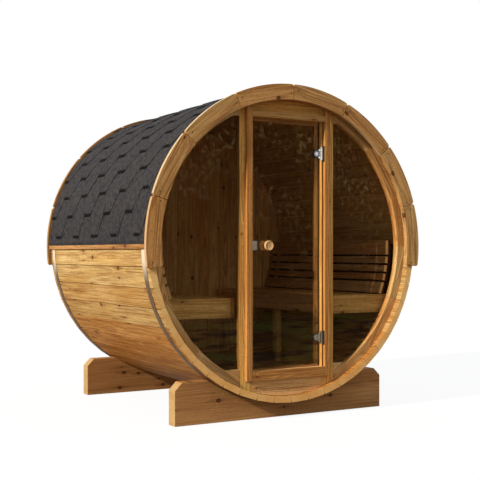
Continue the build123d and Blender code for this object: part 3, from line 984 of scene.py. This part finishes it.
chrome_finish, shader, start = new_finish("chrome", {"Metallic": 0.35})
place = start.place()
brushed = place.stretch(300, 300, 40).noise(1.0, 3, 0.7)
smudge = place.noise(60, 3)
colour = smudge.step(0.3, 0.75).blend(paint(240, 240, 238), paint(212, 210, 208))
start.feed(shader, {"Base Color": colour, "Roughness": 0.16 + smudge * 0.22,
                    "Normal": brushed.bump(0.12, 0.0003)})


def steel(name, bright, dull):
    """Brushed steel between two colours."""
    finish, shader, start = new_finish(name, {"Metallic": 0.6})
    place = start.place()
    brushed = place.stretch(40, 300, 400).noise(1.0, 3, 0.7)
    colour = brushed.step(0.3, 0.7).blend(bright, dull)
    start.feed(shader, {"Base Color": colour, "Roughness": 0.34 + brushed * 0.2,
                        "Normal": brushed.bump(0.15, 0.0003)})
    return finish


satin_finish = steel("satin_steel", paint(128, 134, 146), paint(96, 102, 114))
wear_and_shade_finish = steel("worn_and_painted_shade_steel", paint(150, 138, 122), paint(108, 98, 84))
# The upper leaf and cap are painted near white, a painted glint, and the lower clamp, leaf and
# cap take the darker worn steel, painted shade. The strike is worn steel.
for name, finish in (("door_clamp_upper", satin_finish), ("door_clamp_lower", wear_and_shade_finish),
                     ("hinge_leaf_upper", chrome_finish), ("hinge_leaf_lower", wear_and_shade_finish),
                     ("door_strike", wear_and_shade_finish)):
    dress(name, finish)

# Each clamp is bedded on a dark rubber washer and closed by a turned cap. A dark rubber pad on
# the post beside each leaf is the painted shadow of the leaf.

rubber_finish, shader, start = new_finish("rubber", {"Specular IOR Level": 0.3})
place = start.place()
bloom = place.noise(120, 3).step(0.35, 0.75)
start.feed(shader, {"Base Color": bloom.blend(paint(24, 19, 16), paint(42, 34, 28)),
                    "Roughness": 0.55 + bloom * 0.25})
washer_radius = 0.026
washer_cut = 0.0118  # from its middle to the straight side at the hinge
washer_front, washer_back = 0.0045, 0.003  # how far it reaches from the glass
glass_room = 0.0002
clamp_middle = 0.021  # from the clamp's left edge to its bolt
clamp_depth = 0.007
cap_radius = 0.0125
cap_cut = 1.0  # further than its radius, so that it stays round
cap_proud, cap_sunk = 0.0022, 0.0005
pad_width = 0.0096
pad_depth = 0.0095
pad_room = 0.0004
small_ease = 0.0008
round_sides = 48


def disc(middle_x, middle_z, radius, cut):
    """The outline of a round plate, sawn off straight at a distance to the right."""
    angles = [2 * math.pi * i / round_sides for i in range(round_sides)]
    outline = [(middle_x + min(radius * math.cos(a), cut),
                middle_z + radius * math.sin(a) - axis_height) for a in angles]
    sawn = middle_x + cut - 1e-6
    return [spot for i, spot in enumerate(outline)
            if min(spot[0], outline[i - 1][0], outline[(i + 1) % round_sides][0]) < sawn]


pane_low, pane_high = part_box("door_glass")
for level_name, pad_half, cap_finish in (("upper", 0.050, chrome_finish),
                                         ("lower", 0.044, wear_and_shade_finish)):
    low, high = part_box("door_clamp_" + level_name)
    middle_x, middle_z = low.x + clamp_middle, (low.z + high.z) / 2
    clamp_front = pane_low.y - clamp_depth
    washer_spans = ((pane_low.y - washer_front, pane_low.y - glass_room),
                    (pane_high.y + glass_room, pane_high.y + washer_back))
    cap_spans = ((clamp_front - cap_proud, clamp_front + cap_sunk),)
    for part, finish, radius, cut, spans in (
            ("washer", rubber_finish, washer_radius, washer_cut, washer_spans),
            ("cap", cap_finish, cap_radius, cap_cut, cap_spans)):
        boards = new_boards("clamp " + part)
        outline = disc(middle_x, middle_z, radius, cut)
        for near, far in spans:
            add_board(boards, outline, near, far, along=1, thin=2, ease=small_ease)
        piece = make_piece("clamp_" + part + "_" + level_name, boards[0], finish)
        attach(piece, "door")
    low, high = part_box("hinge_leaf_" + level_name)
    boards = new_boards("hinge pad")
    outline = oblong(high.x - pad_width, middle_z - pad_half - axis_height,
                     high.x + fit_room, middle_z + pad_half - axis_height)
    add_board(boards, outline, low.y - pad_depth, wall_low.y - pad_room, along=1, thin=2,
              ease=small_ease)
    piece = make_piece("hinge_pad_" + level_name, boards[0], rubber_finish)
    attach(piece, "root")

# ---- door knob ---------------------------------------------------------------------
# A turned wooden knob on each face of the glass, held by one bolt through it. A slender
# neck carries a flat head with a raised rim.

knob_wood = wood("knob_wood", (232, 196, 144), (220, 174, 116), (170, 118, 68),
                 knots=0.0, ring=0.004)
low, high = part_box("door_knob")
knob_radius = (high.x - low.x) / 2
knob_middle = Vector(((low.x + high.x) / 2, 0, (low.z + high.z) / 2))
knob_depth = 0.044
heart_aside, heart_below = 0.02, 0.05  # how far the knob was cut from the log's heart
# Each ring: its share of the radius, and its distance from the glass as a share of the depth.
knob_profile = ((0.0, 0.0), (0.52, 0.0), (0.52, 0.05), (0.42, 0.12), (0.38, 0.24), (0.42, 0.34),
                (0.66, 0.40), (0.90, 0.46), (0.98, 0.56), (1.0, 0.68), (0.99, 0.84), (0.95, 0.94),
                (0.88, 1.0), (0.80, 0.99), (0.74, 0.95), (0.50, 0.93), (0.25, 0.93), (0.0, 0.93))
draw = random.Random("knob")
mesh = bmesh.new()
grain = mesh.verts.layers.float_vector.new("grain")
tone = mesh.verts.layers.float.new("tone")
for face_y, tip_y in ((pane_low.y - glass_room, low.y), (pane_high.y + glass_room, high.y)):
    shift = draw.uniform(0, 40)
    rings = []
    for share, reach in knob_profile:
        ring = []
        for index in range(round_sides):
            angle = 2 * math.pi * index / round_sides
            offset = Vector((share * knob_radius * math.cos(angle), 0,
                             share * knob_radius * math.sin(angle)))
            depth = Vector((0, face_y + (tip_y - face_y) * reach, 0))
            v = mesh.verts.new(knob_middle + offset + depth)
            v[grain] = (offset.z + shift, offset.x + heart_aside,
                        reach * knob_depth + heart_below)
            v[tone] = 0.5
            ring.append(v)
        rings.append(ring)
    for here, there in zip(rings, rings[1:]):
        for index in range(round_sides):
            mesh.faces.new((here[index - 1], here[index], there[index], there[index - 1]))
bmesh.ops.remove_doubles(mesh, verts=mesh.verts, dist=1e-6)
bmesh.ops.recalc_face_normals(mesh, faces=mesh.faces)
piece = make_piece("turned_knob", mesh, knob_wood, smooth=50)
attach(piece, "door")
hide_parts("door_knob")

# ---- rear wall ---------------------------------------------------------------------
# Upright tongue and groove boards, 45 mm thick, cut to the circle of the barrel. Eased
# edges leave a groove at every joint, inside and out.

rear_wood = wood("rear_wood", (240, 208, 144), (226, 184, 120), (156, 112, 66),
                 knots=0.18, ring=0.0052, figure=0.7)
low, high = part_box("rear_wall")
board_count = 20
pitch = 2 * wall_radius / board_count
boards = new_boards("rear wall")
for index in range(board_count):
    left = -wall_radius + pitch * index
    right = left + pitch
    top_arc = arc(wall_radius, bearing(left, wall_radius), bearing(right, wall_radius), 1)
    foot_arc = [(x, -y) for x, y in reversed(top_arc)]
    outline = top_arc + foot_arc
    # the outermost boards come to a point at the side, which is one corner and not two
    if index == 0:
        outline = outline[:-1]
    if index == board_count - 1:
        outline = top_arc + foot_arc[1:]
    add_board(boards, outline, low.y, high.y, along=1, thin=2, ease=0.0022)
piece = make_piece("rear_wall_boards", boards[0], rear_wood)
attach(piece, "root")
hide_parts("rear_wall")

# ---- floor -------------------------------------------------------------------------
# Boards laid loose along the barrel between the benches, with gaps for the water. They
# lie on three bearers that are sawn to the barrel's curve.

low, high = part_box("floor")
floor_top = high.z - axis_height
floor_under = low.z - axis_height
floor_room = 0.0005
half = math.sqrt(wall_radius ** 2 - floor_top ** 2) - floor_room
under_half = math.sqrt(wall_radius ** 2 - floor_under ** 2) - floor_room
floor_wood = wood("floor_wood", (180, 152, 108), (164, 132, 88), (120, 90, 58))
board_count = 9
gap = 0.005
pitch = 2 * under_half / board_count
boards = new_boards("floor")
for index in range(board_count):
    left = -under_half + pitch * index + gap / 2
    right = left + pitch - gap
    top_left = -half if index == 0 else left
    top_right = half if index == board_count - 1 else right
    outline = [(left, floor_under), (right, floor_under),
               (top_right, floor_top), (top_left, floor_top)]
    add_board(boards, outline, low.y, high.y, along=2, thin=1, ease=0.002)
piece = make_piece("floor_boards", boards[0], floor_wood)
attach(piece, "root")
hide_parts("floor")

low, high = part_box("floor_bearers")
bearer_count = 3
bearer_width = 0.045
bearer_room = 0.3  # degrees left free at each end
spread = (high.y - low.y - bearer_width) / (bearer_count - 1)
boards = new_boards("bearers")
bearer_end = math.degrees(math.asin(floor_under / wall_radius))
outline = arc(wall_radius, -180 - bearer_end + bearer_room, bearer_end - bearer_room)
for index in range(bearer_count):
    start_at = low.y + spread * index
    add_board(boards, outline, start_at, start_at + bearer_width, along=0, thin=2)
piece = make_piece("bearer_beams", boards[0], floor_wood)
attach(piece, "root")
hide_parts("floor_bearers")

# ---- benches -----------------------------------------------------------------------
# A bench along each side: a deep front board, a board across each end and a square leg,
# with four seat boards laid along it.

bench_wood = wood("bench_wood", (214, 186, 124), (200, 166, 102), (150, 110, 60),
                  knots=0.2, figure=0.4)
slat_wood = wood("slat_wood", (190, 158, 114), (174, 138, 94), (124, 88, 56),
                 knots=0.2, figure=0.4)
bench_board = 0.028
bench_height = 0.122
bench_joint = 0.0004
bench_room = 0.006  # between the boards across the ends and the staves
bench_ease = 0.003
# painted light: the front board is painted paler towards the back
bench_front_painted_light = (-1.0, 12.0)  # the front board grows paler to the back
leg_width = 0.045
leg_distance = 0.703  # from the front wall
seat_count = 4
seat_gap = 0.010
for side_name, _, mirror in sides:
    low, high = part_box("bench_frame_" + side_name)
    near = min(abs(low.x), abs(high.x))
    near_back = near + bench_board
    seat_top = high.z - axis_height
    bottom = seat_top - bench_height
    reach = wall_radius - bench_room
    outer_top = math.sqrt(reach ** 2 - seat_top ** 2)
    outer_bottom = math.sqrt(reach ** 2 - bottom ** 2)
    boards = new_boards("bench frame " + side_name)
    add_board(boards, oblong(near, bottom, near_back, seat_top), low.y, high.y,
              along=2, thin=0, place=mirror, ease=bench_ease, lean=bench_front_painted_light)
    start_at = near_back + bench_joint
    outline = [(start_at, bottom), (outer_bottom, bottom),
               (outer_top, seat_top), (start_at, seat_top)]
    for y in (low.y, high.y - bench_board):
        add_board(boards, outline, y, y + bench_board, along=0, thin=2, place=mirror,
                  ease=bench_ease, lean=0.8)
    outline = oblong(start_at, low.z - axis_height, start_at + leg_width,
                     seat_top - bench_board)
    leg_y = wall_high.y + leg_distance
    add_board(boards, outline, leg_y, leg_y + leg_width, along=1, thin=0, place=mirror,
              ease=bench_ease)
    piece = make_piece("bench_framing_" + side_name, boards[0], bench_wood,
                       others=[(slat_wood, lambda face: abs(face.center.x) < near_back + 1e-4)])
    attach(piece, "root")
    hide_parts("bench_frame_" + side_name)

    low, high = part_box("bench_seat_" + side_name)
    seat_start = min(abs(low.x), abs(high.x))
    seat_end = max(abs(low.x), abs(high.x))
    seat_under = low.z - axis_height
    pitch = (seat_end - seat_start + seat_gap) / seat_count
    boards = new_boards("bench seat " + side_name)
    for index in range(seat_count):
        left = seat_start + pitch * index
        outline = oblong(left, seat_under, left + pitch - seat_gap, seat_top)
        add_board(boards, outline, low.y, high.y, along=2, thin=1, place=mirror,
                  ease=bench_ease)
    piece = make_piece("seat_boards_" + side_name, boards[0], bench_wood)
    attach(piece, "root")
    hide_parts("bench_seat_" + side_name)

# ---- backrests ---------------------------------------------------------------------
# Five slats on each side, wide ones at the top and the bottom. A curved batten ties them
# together across each end, and two deep brackets hold them off the staves.

# The slats' ends are painted pale, painted light, and their narrow sides dark, painted shade in
# the gaps.
slat_ends_painted_light = wood("slat_ends_painted_light", (214, 190, 142), (204, 174, 122), (162, 126, 82),
                 knots=0.0, figure=0.2, streaks=0.5, weather=0.3)
slat_edges_painted_shade = wood("slat_edges_painted_shade", (56, 34, 20), (48, 28, 16), (32, 18, 10), knots=0.0)


def on_edge(face):
    """Whether a face of a slat is one of its two narrow sides, which are painted dark as shade in
    the gaps.
    """
    away = Vector((face.center.x, 0, face.center.z - axis_height)).normalized()
    return abs(face.normal.y) < 0.5 and abs(face.normal.dot(away)) < 0.93


slat_thickness = 0.023
slat_stand = 0.106  # from the staves to the slats' faces
slat_lift = 0.001  # over the seat
slat_face = wall_radius - slat_stand
slat_back = slat_face + slat_thickness
slat_gap = 0.0125
slat_widths = (0.083, 0.047, 0.047, 0.047, 0.098)
low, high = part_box("backrest_right")
lowest = seat_top + slat_lift
for side_name, _, mirror in sides:
    boards = new_boards("backrest " + side_name)
    travelled = slat_face * math.asin(lowest / slat_back)
    for width in slat_widths:
        angle = (travelled + width / 2) / slat_face
        turned = mirror @ Matrix.Rotation(angle, 4, "Z")
        outline = oblong(slat_face, -width / 2, slat_back, width / 2)
        add_board(boards, outline, low.y, high.y, along=2, thin=0, place=turned,
                  ease=bench_ease)
        travelled += width + slat_gap
    piece = make_piece("backrest_slats_" + side_name, boards[0], slat_wood,
                       others=[(slat_ends_painted_light, looks_along), (slat_edges_painted_shade, on_edge)])
    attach(piece, "root")
    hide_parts("backrest_" + side_name)

# The battens across the ends are thin, and the brackets reach back to the staves. Both take the
# dark slat edge finish, painted shade.

batten_low, batten_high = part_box("backrest_battens")
batten_depth = 0.021
batten_inner = math.hypot(slat_back, max(slat_widths) / 2) + bench_joint
batten_outer = batten_inner + batten_depth
batten_width = 0.045
bracket_inset = 0.350
last = math.degrees((travelled - slat_gap) / slat_face)
far_end = batten_high.y - batten_low.y - batten_width
boards = new_boards("battens")
for _, _, mirror in sides:
    for start_at, outer in ((0, batten_outer), (bracket_inset, wall_radius),
                            (far_end - bracket_inset, wall_radius), (far_end, batten_outer)):
        first = math.degrees(math.asin(lowest / outer))
        outline = arc(batten_inner, first, last) + arc(outer, last, first)
        start_at += batten_low.y
        add_board(boards, outline, start_at, start_at + batten_width, along=1, thin=2,
                  place=mirror, ease=0.001)
piece = make_piece("backrest_batten_strips", boards[0], slat_edges_painted_shade)
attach(piece, "root")
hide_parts("backrest_battens")

# A dark felt sheet is laid on the staves behind the slats, painted shade in the gaps between
# them.

felt_thickness = 0.0016
felt_room = 0.0002
felt_inset = 0.002  # in from the slats' ends
felt_short = 1.5  # degrees below the top slat's upper edge
painted_shade_felt, shader, start = new_finish("felt", {"Specular IOR Level": 0.1})
place = start.place()
fuzz = place.noise(350, 4, 0.7)
start.feed(shader, {"Base Color": fuzz.step(0.3, 0.7).blend(paint(34, 26, 20), paint(56, 42, 32)),
                    "Roughness": 0.85 + fuzz * 0.1, "Normal": fuzz.bump(0.4, 0.0006)})
first = math.degrees(math.asin(lowest / wall_radius))
last -= felt_short
outline = arc(wall_radius - felt_thickness, first, last)
outline += arc(wall_radius - felt_room, last, first)
for side_name, _, mirror in sides:
    boards = new_boards("felt " + side_name)
    add_board(boards, outline, low.y + felt_inset, high.y - felt_inset, along=2, thin=0,
              place=mirror, ease=0.0004)
    piece = make_piece("backrest_painted_shade_felt_" + side_name, boards[0], painted_shade_felt)
    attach(piece, "root")

# ---- studio ------------------------------------------------------------------------
# A pale floor under a white surround. One low lamp stands off to the left and the
# surround fills in the rest, so the front lies mostly in soft light.


def looked_at(start):
    """1 where the surroundings are seen straight, in a gloss or through the glass."""
    seen = start.node("LightPath", {}, {}, "Is Camera Ray")
    seen = seen + start.node("LightPath", {}, {}, "Is Glossy Ray")
    return seen + start.node("LightPath", {}, {}, "Is Transmission Ray")


floor_finish, shader, start = new_finish("studio_floor", {"Roughness": 1.0,
                                                          "Specular IOR Level": 0.0})
seen = looked_at(start)
whiteness = 0.92  # the rest keeps the barrel's shadow on the floor
white = start.node("Emission", {}, {"Color": (1.0, 1.0, 1.0, 1.0), "Strength": 1.0})
dull = Flow(start.tree, shader.outputs[0])
start.feed(shader, {"Base Color": seen.blend((0.20, 0.15, 0.10, 1.0), (0.95, 0.95, 0.95, 1.0))})
mixed = start.node("MixShader", {}, {0: seen * whiteness, 1: dull, 2: white})
start.feed(start.tree.nodes["Material Output"], {"Surface": mixed})

floor_half = 60
floor_drop = 0.0005
mesh = bmesh.new()
bmesh.ops.create_grid(mesh, x_segments=1, y_segments=1, size=floor_half)
studio_floor = make_piece("studio_floor", mesh, floor_finish)
studio_floor.location.z = -floor_drop
studio_floor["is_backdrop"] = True

world = bpy.data.worlds.new("studio")
world.use_nodes = True
bpy.context.scene.world = world
start = Flow(world.node_tree)
surround = world.node_tree.nodes["Background"]
seen = looked_at(start)
fill = 0.58  # what the surround lights the barrel with, where 1 is white
start.feed(surround, {"Color": seen.blend((0.94, 1.0, 1.06, 1.0), (1.0, 1.0, 1.0, 1.0)),
                      "Strength": seen * (1 - fill) + fill})

lamp = bpy.data.lights.new("lamp", "SUN")
lamp.energy = 4.6
lamp.color = (1.0, 0.93, 0.80)
lamp.angle = math.radians(2.0)
lamp_object = bpy.data.objects.new("lamp", lamp)
lamp_shines = Vector((0.88, 0.14, -0.455))
lamp_object.rotation_euler = lamp_shines.to_track_quat("-Z", "Y").to_euler()
bpy.context.scene.collection.objects.link(lamp_object)

# ---- camera ------------------------------------------------------------------------
# Level with the barrel's axis, off to the left of the front.

camera = bpy.data.cameras.new("camera")
camera.sensor_width = 36.0
camera.lens = 70.608
camera.shift_x = 0.00288
camera.shift_y = 0.02586
camera_object = bpy.data.objects.new("camera", camera)
camera_object.location = (-3.2904, -5.9291, 1.0604)
camera_object.rotation_euler = (math.pi / 2, 0, math.radians(-29.8446))
bpy.context.scene.collection.objects.link(camera_object)
bpy.context.scene.camera = camera_object
bpy.context.scene.view_settings.view_transform = "Standard"

# ---- size --------------------------------------------------------------------------
# The outside box of the dressed model.

low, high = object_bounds()
